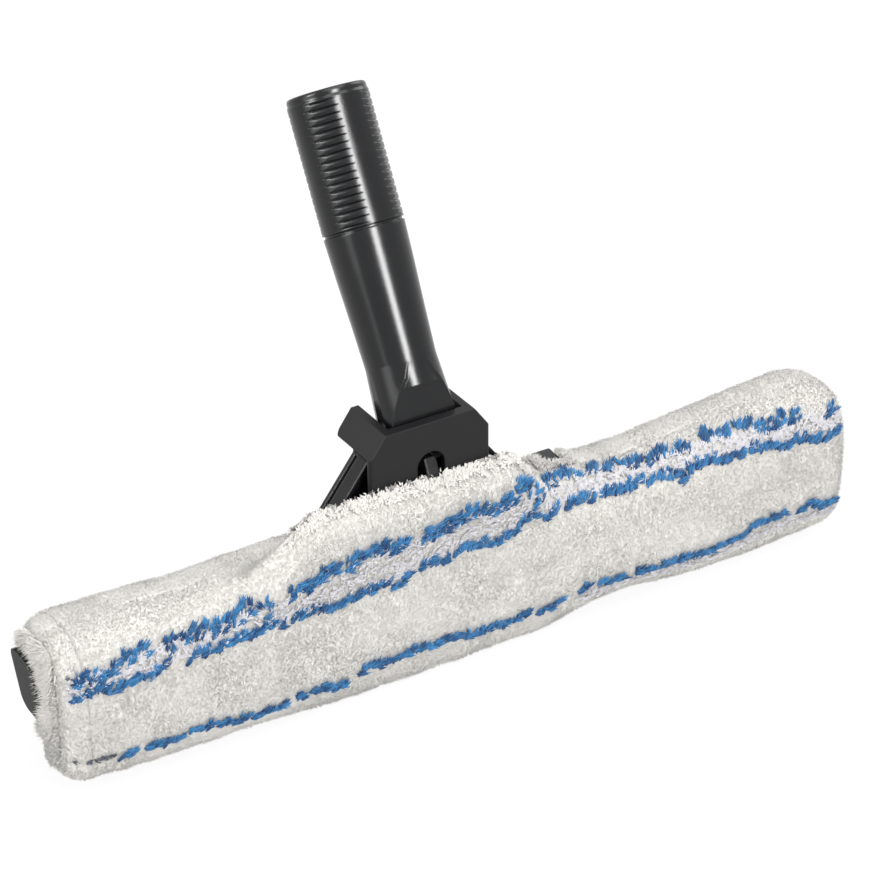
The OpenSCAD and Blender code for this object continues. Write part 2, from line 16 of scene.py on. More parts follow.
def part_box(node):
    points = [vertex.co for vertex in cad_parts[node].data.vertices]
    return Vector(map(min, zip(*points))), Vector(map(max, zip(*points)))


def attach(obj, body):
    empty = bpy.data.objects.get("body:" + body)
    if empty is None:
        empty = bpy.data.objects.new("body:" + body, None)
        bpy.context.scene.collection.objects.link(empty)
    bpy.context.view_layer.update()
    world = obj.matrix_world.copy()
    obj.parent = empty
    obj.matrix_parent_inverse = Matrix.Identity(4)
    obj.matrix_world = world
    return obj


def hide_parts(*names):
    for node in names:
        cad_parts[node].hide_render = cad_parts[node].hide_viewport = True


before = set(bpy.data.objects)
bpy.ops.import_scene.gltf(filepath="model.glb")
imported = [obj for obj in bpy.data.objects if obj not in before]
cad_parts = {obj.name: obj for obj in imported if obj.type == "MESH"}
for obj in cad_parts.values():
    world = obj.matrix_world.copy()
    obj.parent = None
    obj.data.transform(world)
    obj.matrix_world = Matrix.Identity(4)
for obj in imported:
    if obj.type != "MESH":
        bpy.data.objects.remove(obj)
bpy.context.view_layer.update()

bl_info = {
    "name": "Window scrubber",
    "version": (1, 0, 0),
    "blender": (4, 5, 0),
    "location": "View3D > Sidebar > Scrubber",
    "description": "Builds the fleece sleeve, the yarn lines and the finishes of a window scrubber",
    "category": "Object",
}

MM = 0.001
HEAD = "head"


def corner_mm(node):
    """Lowest and highest corner of a CAD node, in millimetres."""
    low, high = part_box(node)
    return np.array(low) / MM, np.array(high) / MM


# The sleeve's driving sizes, read from the frame
HEM_LOW, HEM_HIGH = corner_mm("sleeve_hem")
PANEL_LOW, PANEL_HIGH = corner_mm("end_panel")
PILE_LOW, PILE_HIGH = corner_mm("sleeve_pile")
PATCH_LOW, PATCH_HIGH = corner_mm("hook_patch")
STRAP_LOW, STRAP_HIGH = corner_mm("closure_strap")
HOOD_LOW = corner_mm("housing")[0]
LINING_LOW, LINING_HIGH = corner_mm("sleeve_lining")
SLEEVE_LEFT = HEM_LOW[0]
SLEEVE_RIGHT = PANEL_HIGH[0]
# The hole in which the lining sits: its middle, half its height, and its squareness
HOLE_MID = (LINING_LOW[2] + LINING_HIGH[2]) / 2
HOLE_HALF = (LINING_HIGH[2] - LINING_LOW[2]) / 2
HOLE_SQUARE = 0.45

# From here on, sizes are in millimetres, and directions in degrees round the bar, from the back
# over the top to the front.
# The plain section: height, depth, its middle's height, and its exponents above and below that
SLEEVE_H = 61.6
SLEEVE_D = 43.5
SLEEVE_MID = 32.8
TOP_SQUARE, LOW_SQUARE = 3, 4
# Length over which an end is rounded, and the share of it by which the section is drawn in
END_ROUND = 11.0
END_DRAWN = 0.6
# The raised lip: height, its ends and their rise in the frame, its direction and its spread
LIP_HEIGHT = 24
LIP_FROM, LIP_TO = -60.0, 48.0
LIP_RISE = 16.0
LIP_DIRECTION = 135.0
LIP_SPREAD = 30.0
# The soft lip's ends and their rise, and its wider upper flank: degrees, start and length
SOFT_FROM, SOFT_TO = -90.0, 56.0
SOFT_LEFT, SOFT_RIGHT = 42.0, 24.0
SOFT_WIDER = ((22, -46, -30), (10, 36, 14))
# Half the width of the room that the housing takes in the pile
ROOM_SIDE = 30.3
# How far the pile's body reaches past its two seams
SEAM_LAP = 0.8

# The picture's upward direction, for the yarn's routes
PICTURE_UP = np.array((0.26, 0.431, 0.864))

# Large odd numbers that scramble a lattice point and a seed into a random number
HASH = np.array((73856093, 19349663, 83492791))
HASH_SEED, HASH_MIX = 2654435, 1274126177
HASH_MASK, HASH_RANGE = 0x7FFFFFFF, 0xFFFFF

# Height over the plain top and under the plain underside, along the bar
LIFT = ((-160, 1.8), (-120, 0.7), (-100, -0.4), (-50, 0.6), (55, -1), (90, -4.2), (105, -4.2),
        (125, -2), (150, 0.5), (180, 2.8), (200, 2))
SAG = ((-160, -2.4), (-120, -0.2), (-75, 0.7), (-45, 3), (0, 3.5), (50, 3), (62, 0), (80, -2.8),
       (92, -2.8), (105, -0.7), (120, 1.2), (150, 1.2), (180, -0.5), (200, -1))
# Directions of the yarn lines round the sleeve, in degrees, along the bar
YARN_UPPER = ((-155, 149), (-139, 145), (-107, 142), (-73, 135), (-60, 133), (-56, 140), (-52, 151),
              (-47, 156), (-20, 155.5), (12, 154.5), (32, 154), (37, 147), (41, 131), (45, 117),
              (50, 106), (58, 100), (77, 99), (94, 105), (113, 108), (131, 113), (149, 122),
              (168, 129), (187, 132))
YARN_MIDDLE = ((-155, 165), (-141, 163), (-109, 162), (-75, 158), (-60, 158), (-56, 160), (-50, 161.6),
               (-40, 162), (-24, 161.8), (-6, 160.3), (32, 159.5), (38, 157.2), (44, 149), (50, 138),
               (58, 135), (69, 135), (89, 133), (107, 137), (126, 139), (145, 145), (165, 153),
               (185, 155))
YARN_LOWER = ((-127, 198), (-94, 203), (-60, 201), (-25, 194), (-7, 192), (30, 195), (67, 194),
              (87, 199), (126, 197), (145, 191), (166, 188), (187, 196))


def smooth(t):
    """Smooth step: 3t^2 - 2t^3 between 0 and 1."""
    t = np.clip(t, 0, 1)
    return t * t * (3 - 2 * t)


def unit(v, tiny=1e-9):
    """Vectors of length 1. The tiny length keeps a zero vector from dividing by zero."""
    return v / (np.linalg.norm(v, axis=-1, keepdims=True) + tiny)


def sine_cosine(degrees):
    return np.sin(np.radians(degrees)), np.cos(np.radians(degrees))


def signed_power(v, e):
    return np.sign(v) * np.abs(v) ** e


def squared_ellipse(s, c, half_y, half_z, middle, e):
    """Coordinates y and z of a squared ellipse, from the sine and cosine of a direction."""
    return half_y * signed_power(c, e), middle + half_z * signed_power(s, e)


def along(points, x):
    """Value of a list of (place, value) pairs at x, on straight lines between them."""
    table = np.array(points, float)
    return np.interp(x, table[:, 0], table[:, 1])


def noise(points, scale, seed):
    """Value noise from -1 to 1: random numbers on a lattice of that scale, blended smoothly."""
    q = np.asarray(points, float) / scale
    cell = np.floor(q).astype(np.int64)
    f = q - cell
    f = f * f * (3 - 2 * f)
    total = np.zeros(q.shape[:-1])
    for corner in range(8):
        step = np.array([corner & 1, corner >> 1 & 1, corner >> 2 & 1])
        h = np.bitwise_xor.reduce((cell + step) * HASH, -1) ^ seed * HASH_SEED
        h = (h ^ h >> 13) * HASH_MIX & HASH_MASK
        h = (h ^ h >> 15) & HASH_RANGE
        weight = np.prod(np.where(step == 1, f, 1 - f), axis=-1)
        total += weight * (h / HASH_RANGE * 2 - 1)
    return total


def spread_out(x, y, z):
    """Points from coordinates that are spread over each other's rows and columns."""
    return np.stack(np.broadcast_arrays(x, y, z), -1)


def skin(x, a, soft=True):
    """The sleeve's point at x in the direction a: a squared ellipse round the bar, drawn in at
    both ends along a quarter round, lifted and sagging along the bar, with a raised lip in front
    of the housing. If soft, the lip's ends rise more slowly and its upper flank is wider there."""
    s, c = sine_cosine(a)
    d = np.clip(np.minimum(x - SLEEVE_LEFT, SLEEVE_RIGHT - x), 0, END_ROUND)
    drawn = END_DRAWN * (END_ROUND - np.sqrt(END_ROUND**2 - (END_ROUND - d) ** 2))
    half_d = SLEEVE_D / 2 - drawn
    half_h = SLEEVE_H / 2 - drawn + np.where(s >= 0, along(LIFT, x), along(SAG, x))
    e = np.where(s >= 0, 2 / TOP_SQUARE, 2 / LOW_SQUARE)
    fall = LIP_SPREAD / 2
    if soft:
        lip = LIP_HEIGHT * smooth((x - SOFT_FROM) / SOFT_LEFT) * smooth((SOFT_TO - x) / SOFT_RIGHT)
        wider = sum(degrees * smooth((x - start) / length) for degrees, start, length in SOFT_WIDER)
        fall = fall + np.where(a < LIP_DIRECTION, wider, 0)
    else:
        lip = LIP_HEIGHT * smooth((x - LIP_FROM) / LIP_RISE) * smooth((LIP_TO - x) / LIP_RISE)
    off = np.maximum(0, np.abs(a - LIP_DIRECTION) - LIP_SPREAD / 2)
    part = smooth(1 - off / fall)
    y, z = squared_ellipse(s, c, half_d, half_h, SLEEVE_MID, e)
    return spread_out(x, y, z + lip * part)


def normals_of(x, a):
    """Outward normals of the skin, from differences along it and round it."""
    near_x, near_a = 0.5, 0.8
    dx = skin(x + near_x, a) - skin(x - near_x, a)
    da = skin(x, a + near_a) - skin(x, a - near_a)
    return unit(np.cross(da, dx), 1e-12)


def even_angles(count):
    """Directions round the sleeve that are equally far apart along its plain section."""
    plain_x = 120.0
    fine = np.linspace(0, 360, 360 * 100 + 1)
    ring = skin(np.full(len(fine), plain_x), fine)
    run = np.append(0, np.cumsum(np.linalg.norm(np.diff(ring, axis=0), axis=-1)))
    return np.interp(np.linspace(0, run[-1], count), run, fine)


def on_route(route, x):
    """Direction of a yarn line at x: the route holds for the frame's sleeve, so the direction is
    the one near it whose point on the soft sleeve is as high in the picture."""
    lowest, highest, steps, stray_cost = 92, 250, 633, 0.04
    first = along(route, x)
    goal = skin(x, first, soft=False) @ PICTURE_UP
    a = np.linspace(lowest, highest, steps)
    height = skin(x[:, None], a[None]) @ PICTURE_UP
    cost = np.abs(height - goal[:, None]) + stray_cost * np.abs(a - first[:, None])
    return a[cost.argmin(1)]


def lumpy(p, height, seed):
    """Moves points away from the bar's line by soft lumps. Returns them and the lumps, -1 to 1."""
    out = unit((p - np.array([0, 0, SLEEVE_MID])) * np.array([0, 1, 1]))
    wide, fine = 9, 3.2
    lump = noise(p, wide, seed) * 0.6 + noise(p, fine, seed + 1) * 0.4
    return p + out * (lump * height)[..., None], lump


def fit_room(p):
    """Presses the pile down where the housing and the strap's hook patch sit, and flat on
    the floor. The housing's room is behind the lip."""
    depth, hood_gap, gap, back_gap = 3, 0.3, 0.5, 1.0
    q = p.copy()
    x, y, z = q[..., 0], q[..., 1], q[..., 2]
    bottom = HOOD_LOW[2] - depth
    behind = (np.abs(x) < ROOM_SIDE) & (y > HOOD_LOW[1] - hood_gap) & (z > bottom)
    z[behind] = bottom
    seat = ((x > PATCH_LOW[0] - gap) & (x < PATCH_HIGH[0] + gap)
            & (y > PATCH_LOW[1] - gap) & (y < PATCH_HIGH[1] + back_gap) & (z > PATCH_LOW[2]))
    z[seat] = PATCH_LOW[2]
    z[:] = np.maximum(z, 0)
    return q


def grid_faces(rows, cols, close_rows=False):
    """Quads of a grid of rows by cols points. Each row wraps round, and so does the grid's last
    row to its first if close_rows."""
    i, j = np.meshgrid(np.arange(rows if close_rows else rows - 1), np.arange(cols), indexing="ij")
    i2, j2 = (i + 1) % rows, (j + 1) % cols
    return np.stack([i * cols + j, i2 * cols + j, i2 * cols + j2, i * cols + j2], -1).reshape(-1, 4)


def linked(name, data):
    """A new object in the scene."""
    item = bpy.data.objects.new(name, data)
    bpy.context.scene.collection.objects.link(item)
    return item


def new_mesh(name, vertices, faces, material, smooth_shading=True, normals=None):
    """Object from arrays: vertices in millimetres, faces all with the same number of corners,
    and if given, the normal that each vertex is lit with."""
    vertices = vertices.reshape(-1, 3)
    mesh = bpy.data.meshes.new(name)
    count, sides = faces.shape
    mesh.vertices.add(len(vertices))
    mesh.vertices.foreach_set("co", (vertices * MM).astype(np.float32).ravel())
    mesh.loops.add(count * sides)
    mesh.loops.foreach_set("vertex_index", faces.astype(np.int32).ravel())
    mesh.polygons.add(count)
    mesh.polygons.foreach_set("loop_start", np.arange(count, dtype=np.int32) * sides)
    mesh.polygons.foreach_set("use_smooth", np.full(count, smooth_shading))
    mesh.update(calc_edges=True)
    mesh.validate()
    if normals is not None:
        mesh.normals_split_custom_set_from_vertices(normals)
    mesh.materials.append(material)
    return linked(name, mesh)


def point_value(piece, name, values):
    """Stores one number a vertex, for the piece's material."""
    attribute = piece.data.attributes.new(name, "FLOAT", "POINT")
    attribute.data.foreach_set("value", np.asarray(values, np.float32))


def tuft_mesh(base, axis, side, length, width, curl, ground, share, rings, sides=3):
    """Closed tufts, all at once: each is a tapering stem with a few sides that starts at base,
    runs along axis and bends towards side by curl, and ends in a point. Its vertices are lit
    partly as the ground under it, by its normal and a share. Returns vertices,
    triangles, normals, each vertex's height along its tuft, and the number of vertices in one."""
    taper = 0.4
    n = len(base)
    t = np.linspace(0, 1, rings + 1)[:-1]
    across = unit(np.cross(axis, side), 1e-12)
    side = np.cross(across, axis)
    turn = np.arange(sides) * 2 * math.pi / sides
    centre = (base[:, None] + axis[:, None] * (length[:, None] * t)[..., None]
              + side[:, None] * (curl[:, None] * t**2)[..., None])
    radius = width[:, None] / 2 * (1 - taper * t)
    spoke = side[:, None] * np.cos(turn)[:, None] + across[:, None] * np.sin(turn)[:, None]
    ring = centre[:, :, None] + radius[:, :, None, None] * spoke[:, None]
    tip = base + axis * length[:, None] + side * curl[:, None]
    points = np.concatenate([ring.reshape(n, -1, 3), tip[:, None]], 1)
    own = np.concatenate([np.tile(spoke, (1, rings, 1)), axis[:, None]], 1)
    normals = unit(own * (1 - share) + ground[:, None] * share, 1e-12)
    faces = []
    for r in range(rings - 1):
        for k in range(sides):
            a, b = r * sides + k, r * sides + (k + 1) % sides
            c, d = a + sides, b + sides
            faces += [(a, b, d), (a, d, c)]
    top = (rings - 1) * sides
    faces += [(top + k, top + (k + 1) % sides, rings * sides) for k in range(sides)]
    faces += [(0, k + 1, k) for k in range(1, sides - 1)]
    per = rings * sides + 1
    faces = np.array(faces)[None] + (np.arange(n) * per)[:, None, None]
    height = np.tile(np.append(np.repeat(t, sides), 1), n)
    return points.reshape(-1, 3), faces.reshape(-1, 3), normals.reshape(-1, 3), height, per


class Wire:
    """A socket of a node tree. Arithmetic on it adds Math nodes."""

    def __init__(self, tree, socket):
        self.tree, self.socket = tree, socket

    def math(self, operation, a, b):
        return self.tree.node("ShaderNodeMath", {"operation": operation}, {0: a, 1: b})[0]

    def __add__(self, other):
        return self.math("ADD", self, other)

    def __mul__(self, other):
        return self.math("MULTIPLY", self, other)

    def clamp(self):
        return self.tree.node("ShaderNodeClamp", {}, {0: self})[0]

    __radd__ = __add__
    __rmul__ = __mul__


class Outputs:
    """The outputs of one node, by name or number."""

    def __init__(self, tree, node):
        self.tree, self.node = tree, node

    def __getitem__(self, key):
        return Wire(self.tree, self.node.outputs[key])


class Tree:
    """A node tree, to which nodes are added with their settings, values and links."""

    def __init__(self, tree):
        self.tree = tree

    def node(self, kind, settings=None, sockets=None):
        """Adds a node: its settings first, then the values or links of its sockets."""
        node = self.tree.nodes.new(kind)
        for key, value in (settings or {}).items():
            setattr(node, key, value)
        for key, value in (sockets or {}).items():
            self.feed(node.inputs[key], value)
        return Outputs(self, node)

    def feed(self, socket, value):
        """Links a wire to a socket, or sets the socket's value."""
        if isinstance(value, Wire):
            self.tree.links.new(value.socket, socket)
        else:
            socket.default_value = value

    def seen(self):
        """1 for what the camera, gloss and glass see, 0 for what lights a dull surface."""
        path = self.node("ShaderNodeLightPath")
        return (path["Is Camera Ray"] + path["Is Glossy Ray"] + path["Is Transmission Ray"]).clamp()

    def blend_output(self, output, factor, first, second):
        """Feeds the tree's output from a shader node and a shader wire, mixed by a factor."""
        sockets = {0: factor, 1: Wire(self, first.outputs[0]), 2: second}
        both = self.node("ShaderNodeMixShader", {}, sockets)[0]
        self.feed(self.tree.nodes[output].inputs["Surface"], both)


class Finish(Tree):
    """One material: its tree, and its Principled shader's sockets set by name."""

    def __init__(self, name, **fixed):
        self.material = bpy.data.materials.new(name)
        self.material.use_nodes = True
        super().__init__(self.material.node_tree)
        self.shader = self.tree.nodes["Principled BSDF"]
        for key, value in fixed.items():
            socket = key.replace("_", " ").title().replace("Ior", "IOR")
            self.shader.inputs[socket].default_value = value

    def place(self):
        """The point on the piece, in its own coordinates."""
        return self.node("ShaderNodeTexCoord")["Object"]

    def shade(self):
        """The number that the piece's points store."""
        return self.node("ShaderNodeAttribute", {"attribute_name": "shade"})["Fac"]

    def cloud(self, scale, detail=2.0, rough=0.5, stretch=(1, 1, 1)):
        """Noise from 0 to 1; scale is in cells per metre, stretched along the axes."""
        at = self.place()
        if stretch != (1, 1, 1):
            at = self.node("ShaderNodeMapping", {}, {"Vector": at, "Scale": stretch})["Vector"]
        return self.node("ShaderNodeTexNoise", {},
                         {"Vector": at, "Scale": scale, "Detail": detail, "Roughness": rough})["Fac"]

    def mix(self, factor, a, b):
        """Blend of two colours."""
        return self.node("ShaderNodeMix", {"data_type": "RGBA"}, {0: factor, 6: a, 7: b})[2]

    def bump(self, height, distance, strength=1.0, edge=0.0):
        """Bump from a height; with edge, sharp edges are shaded as rounded by that radius."""
        sockets = {"Height": height, "Distance": distance, "Strength": strength}
        if edge:
            bevel = self.node("ShaderNodeBevel", {"samples": 6}, {"Radius": edge})
            sockets["Normal"] = bevel["Normal"]
        self.feed(self.shader.inputs["Normal"], self.node("ShaderNodeBump", {}, sockets)["Normal"])

    def colour(self, value):
        self.feed(self.shader.inputs["Base Color"], value)

    def roughness(self, value):
        self.feed(self.shader.inputs["Roughness"], value)


def rgba(colour, gain=1.0):
    return (colour[0] * gain, colour[1] * gain, colour[2] * gain, 1.0)


def moulded_plastic(name, colour, rough, gloss=0.3, edge=0.0006):
    """Injection-moulded plastic: faint cloudiness, a fine grain and small gloss changes."""
    f = Finish(name, roughness=rough, specular_ior_level=gloss)
    slow = f.cloud(60, 3)
    f.colour(f.mix(slow, rgba(colour, 0.9), rgba(colour, 1.12)))
    f.roughness(rough - 0.04 + 0.08 * f.cloud(180, 3))
    f.bump(f.cloud(2600, 2), 0.00002, edge=edge)
    return f.material


def worn_metal(name, colour, rough):
    """Drawn metal: fine lines along the bar and cloudy gloss."""
    f = Finish(name, roughness=rough, metallic=1.0)
    lines = f.cloud(3000, 2, stretch=(0.03, 1, 1))
    f.colour(f.mix(lines, rgba(colour, 0.85), rgba(colour)))
    f.roughness(rough - 0.08 + 0.16 * f.cloud(300, 3))
    f.bump(lines, 0.00002)
    return f.material


def rubber(name, colour):
    f = Finish(name, roughness=0.75)
    f.colour(f.mix(f.cloud(500), rgba(colour, 0.8), rgba(colour, 1.3)))
    f.bump(f.cloud(3500), 0.00004)
    return f.material


def woven_tape(name, colour):
    """Ribbed tape: cords side by side along X, and a looped face."""
    f = Finish(name, roughness=0.85, sheen_weight=0.15)
    wave = f.node("ShaderNodeTexWave", {"bands_direction": "X"},
                  {"Vector": f.place(), "Scale": 480.0, "Distortion": 0.6, "Detail": 1.0})["Fac"]
    f.colour(f.mix(wave, rgba(colour, 0.6), rgba(colour, 1.6)))
    f.bump(wave * 0.7 + f.cloud(2500) * 0.3, 0.0001)
    return f.material


def lining_cloth(name, colour):
    """Knitted backing: small rows of stitches."""
    f = Finish(name, roughness=0.95, sheen_weight=0.1)
    knit = f.node("ShaderNodeTexVoronoi", {}, {"Vector": f.place(), "Scale": 900.0})["Distance"]
    f.colour(f.mix(knit, rgba(colour, 1.05), rgba(colour, 0.8)))
    f.bump(knit, 0.00015)
    return f.material


def fleece(name, colour, shadow, contrast):
    """Cut pile: warm white, a little different from tuft to tuft, with soft mottling, and with painted
    shade: darker towards each tuft's foot and in the pile's hollows.
    """
    f = Finish(name, roughness=0.95, sheen_weight=0.2, sheen_roughness=0.6, specular_ior_level=0.1)
    # The shade number carries each tuft's own tone and the painted shade at the tufts' feet and in the
    # hollows
    mixed = (f.shade() * contrast + f.cloud(90, 4, 0.6) * 0.25).clamp()
    f.colour(f.mix(mixed, rgba(colour), rgba(shadow)))
    f.bump(f.cloud(420, 3, 0.6) * 0.75 + f.cloud(1700, 2) * 0.25, 0.0008, 0.65)
    return f.material


def yarn_finish(name, colour, shadow):
    """Coarse scrubbing yarn: its colour runs darker towards each tuft's foot, a painted shade."""
    f = Finish(name, roughness=0.7, sheen_weight=0.15, specular_ior_level=0.2)
    mixed = (f.shade() * 0.85 + 0.3 * f.cloud(150, 3)).clamp()
    f.colour(f.mix(mixed, rgba(colour), rgba(shadow)))
    f.roughness(0.6 + 0.2 * f.cloud(900))
    f.bump(f.cloud(2200, 2), 0.0002, 0.7)
    return f.material


def srgb(r, g, b):
    """Linear colour of a screen colour from 0 to 255."""
    return tuple(v / 255 / 12.92 if v <= 10 else ((v / 255 + 0.055) / 1.055) ** 2.4 for v in (r, g, b))


def setting(kind, name, description, default, **rest):
    """A property of a kind, with what every property has."""
    return kind(name=name, description=description, default=default, **rest)


def colour_setting(name, description, screen):
    """A colour property whose default is a screen colour."""
    return setting(FloatVectorProperty, name, description, srgb(*screen), subtype="COLOR", size=3,
                   min=0, max=1)


def angle_setting(name, description, degrees):
    return setting(FloatProperty, name, description, math.radians(degrees), subtype="ANGLE")


class SleeveSettings(bpy.types.PropertyGroup):
    """Fineness and colours of the fleece."""

    step: setting(FloatProperty, "Grid step", "Distance between points of the pile's surface", 1.1,
                  min=0.6, max=4)
    layers: setting(IntProperty, "Layers", "Number of pieces that the fine tufts are split into", 7,
                    min=1)
    tufts: setting(IntProperty, "Tufts", "Number of fine tufts in a layer", 44000, min=1000)
    rough_clumps: setting(IntProperty, "Coarse bundles",
                          "Number of coarse bundles between the yarn lines", 1300, min=100)
    tuft_length: setting(FloatProperty, "Tuft length", "Length of a fine tuft in millimetres", 1.7,
                         min=0.5, max=8)
    lumps: setting(FloatProperty, "Lumps", "Height of the pile's soft lumps in millimetres", 0.55,
                   min=0, max=2)
    pile: colour_setting("Pile", "Colour of the pile", (238, 235, 229))
    # The pile shade is also the colour of the painted shade at the tufts' feet and in the pile's hollows
    pile_shade: colour_setting("Pile shade", "Colour of the pile's darker tufts", (218, 215, 210))
    yarn: colour_setting("Yarn", "Colour of the scrubbing yarn", (76, 158, 216))
    yarn_shade: colour_setting("Yarn shade", "Colour of the yarn in its own shade", (15, 50, 104))
    rough: colour_setting("Coarse tufts", "Colour of the coarse white tufts", (235, 233, 234))
    # The coarse tufts' shade is also the colour of the painted shade at their feet
    rough_shade: colour_setting("Coarse tufts' shade", "Their darker colour", (214, 212, 218))
    seed: setting(IntProperty, "Seed", "Start of the random numbers", 7)


class PlasticSettings(bpy.types.PropertyGroup):
    """Colours of the moulded pieces."""

    handle: colour_setting("Handle", "Colour of the handle", (15, 16, 18))
    housing: colour_setting("Housing", "Colour of the housing", (18, 18, 20))
    cap: colour_setting("End caps", "Colour of the end caps", (12, 12, 13))


class StageSettings(bpy.types.PropertyGroup):
    """Camera and light."""

    azimuth: angle_setting("Azimuth", "Camera's direction to the left of the front", 31.12)
    elevation: angle_setting("Elevation", "Camera's direction above the floor", 30.23)
    roll: angle_setting("Roll", "Camera's turn about its own line", -0.6)
    distance: setting(FloatProperty, "Distance", "From the camera to the point it looks at", 1.12865,
                      subtype="DISTANCE", unit="LENGTH")
    target: setting(FloatVectorProperty, "Target", "The point the camera looks at",
                    (0.00951, 0.0, 0.09387), subtype="TRANSLATION", size=3)
    lens: setting(FloatProperty, "Lens", "Focal length on a 36 mm sensor, in millimetres", 123.16,
                  min=20)
    fill: setting(FloatProperty, "Fill", "Strength of the even light", 0.43, min=0)
    key: setting(FloatProperty, "Key", "Strength of the main lamp in watts", 5.1, min=0)
    gloss: setting(FloatProperty, "Gloss", "Strength of the lamps that only gloss shows, in watts",
                   15.0, min=0)


class SCRUBBER_OT_stage(bpy.types.Operator):
    """Camera at the photograph's angle, pale floor and soft light"""

    bl_idname = "scrubber.stage"
    bl_label = "Stage"

    def execute(self, context):
        s = context.scene.scrubber_stage
        target = Vector(s.target)
        back = Vector((-math.sin(s.azimuth) * math.cos(s.elevation),
                       -math.cos(s.azimuth) * math.cos(s.elevation), math.sin(s.elevation)))
        right = (-back).cross(Vector((0, 0, 1))).normalized()
        up = right.cross(-back)
        across = right * math.cos(s.roll) + up * math.sin(s.roll)
        over = up * math.cos(s.roll) - right * math.sin(s.roll)
        data = bpy.data.cameras.new("camera")
        data.lens, data.sensor_width = s.lens, 36
        data.clip_start, data.clip_end = 0.05, 20
        camera = linked("camera", data)
        camera.matrix_world = Matrix.Translation(target + back * s.distance) @ Matrix(
            (across, over, back)).transposed().to_4x4()
        context.scene.camera = camera
        self.floor()
        self.world(context.scene, s.fill)
        self.lamp("top", (0.1, -0.5, 1.7), (1.6, 1.2), s.key * 4.3)
        self.lamp("left", (-1.5, -0.1, 0.7), (0.9, 1.1), s.key * 1.6)
        self.lamp("right", (1.5, 0.3, 0.9), (0.8, 1.0), s.key * 1.4)
        self.lamp("front", (-0.02, -1.35, 0.80), (0.4, 0.9), s.key * 1.45)
        self.lamp("gloss_front", (-0.02, -1.37, 0.80), (0.4, 0.9), s.gloss * 2.1, shine_only=True)
        self.lamp("gloss_left", (-1.2, 0.15, 0.95), (0.5, 0.5), s.gloss * 1.4, shine_only=True)
        context.scene.view_settings.view_transform = "Standard"
        return {"FINISHED"}

    def floor(self):
        """A wide pale floor that keeps the shadow and looks nearly white to the camera."""
        half, height = 6000.0, -0.4
        corners = np.array([(x * half, y * half, height) for x, y in ((-1, -1), (1, -1), (1, 1), (-1, 1))])
        f = Finish("floor_white", roughness=0.9, base_color=(0.9, 0.9, 0.9, 1))
        glow = f.node("ShaderNodeEmission", {}, {"Color": (1, 1, 1, 1), "Strength": 1.03})[0]
        f.blend_output("Material Output", f.seen() * 0.9, f.shader, glow)
        floor = new_mesh("floor", corners, np.array([[0, 1, 2, 3]]), f.material, False)

    def world(self, scene, fill):
        """Even light that the camera, gloss and glass see as white."""
        world = bpy.data.worlds.new("studio")
        scene.world = world
        world.use_nodes = True
        t = Tree(world.node_tree)
        light = t.tree.nodes["Background"]
        t.feed(light.inputs["Color"], (0.97, 0.985, 1.0, 1))
        t.feed(light.inputs["Strength"], fill)
        white = t.node("ShaderNodeBackground", {}, {"Color": (1, 1, 1, 1)})[0]
        t.blend_output("World Output", t.seen(), light, white)

    def lamp(self, name, place, size, watts, shine_only=False):
        """A softbox of (width, height) that looks at the middle of the object. If shine_only,
        it shows in gloss and lights no dull surface."""
        aim = Vector((0, 0, 0.1))
        data = bpy.data.lights.new(name, "AREA")
        data.shape, data.size, data.size_y, data.energy = "RECTANGLE", size[0], size[1], watts
        lamp = linked(name, data)
        lamp.location = place
        lamp.rotation_euler = (aim - Vector(place)).to_track_quat("-Z", "Y").to_euler()
        lamp.visible_diffuse = not shine_only


class SCRUBBER_OT_hard_parts(bpy.types.Operator):
    """Finishes of the metal and plastic pieces that stay as the frame has them"""

    bl_idname = "scrubber.hard_parts"
    bl_label = "Hard parts"

    def execute(self, context):
        s = context.scene.scrubber_plastic
        handle = moulded_plastic("handle_plastic", s.handle, 0.2, 0.34)
        housing = moulded_plastic("housing_plastic", s.housing, 0.45, 0.26)
        yoke = moulded_plastic("yoke_plastic", s.housing, 0.28, edge=0.0014)
        cap = moulded_plastic("cap_plastic", s.cap, 0.5, 0.12)
        bar = worn_metal("bar_metal", srgb(190, 192, 195), 0.35)
        steel = worn_metal("pin_metal", srgb(170, 171, 173), 0.3)
        brass = worn_metal("bush_brass", srgb(190, 160, 95), 0.35)
        finishes = {
            "crossbar": bar, "end_cap_left": cap, "end_cap_right": cap, "yoke": yoke,
            "bar_rivets": steel, "housing": housing, "hinge_pin": steel, "pin_clip": steel,
            "friction_washers": rubber("washer_rubber", srgb(30, 30, 30)), "handle": handle,
            "hinge_bushes": brass,
        }
        for node, material in finishes.items():
            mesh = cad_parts[node].data
            mesh.materials.clear()
            mesh.materials.append(material)
        return {"FINISHED"}


def tube_wall(x0, x1, step, closed_end=False):
    """Rings of the pile between two places: outside, then back inside along the lining's hole,
    or closed by a soft dome at the far end. Returns points in rows, and whether the rows close."""
    dome_height, dome_rings, inner_rings, hole_stride = 2.2, 8, 4, 8
    around = int(2 * (SLEEVE_H + SLEEVE_D) / step)
    a = even_angles(around + 1)[:-1]
    xs = np.linspace(x0, x1, max(4, int((x1 - x0) / step)))
    outer = drawn_corner(skin(xs[:, None], a[None]), a)
    if closed_end:
        start, last = outer[0], outer[-1]
        k = np.linspace(0, 1, dome_rings + 1)[1:]
        dome = last[None] + (last.mean(0) - last)[None] * k[:, None, None]
        dome[..., 0] += dome_height * np.sqrt(np.clip(1 - (1 - k) ** 2, 0, 1))[:, None]
        k = np.linspace(0, 1, inner_rings + 1)[1:]
        inner = start[None] + (start.mean(0) - start)[None] * k[:, None, None]
        return np.concatenate([inner[::-1], outer, dome]), False
    hole = squared_ellipse(*sine_cosine(a), LINING_HIGH[1], HOLE_HALF, HOLE_MID, HOLE_SQUARE)
    inner = spread_out(xs[::-1][:, None], *hole)
    return np.concatenate([outer, inner[::hole_stride], inner[-1:]]), True


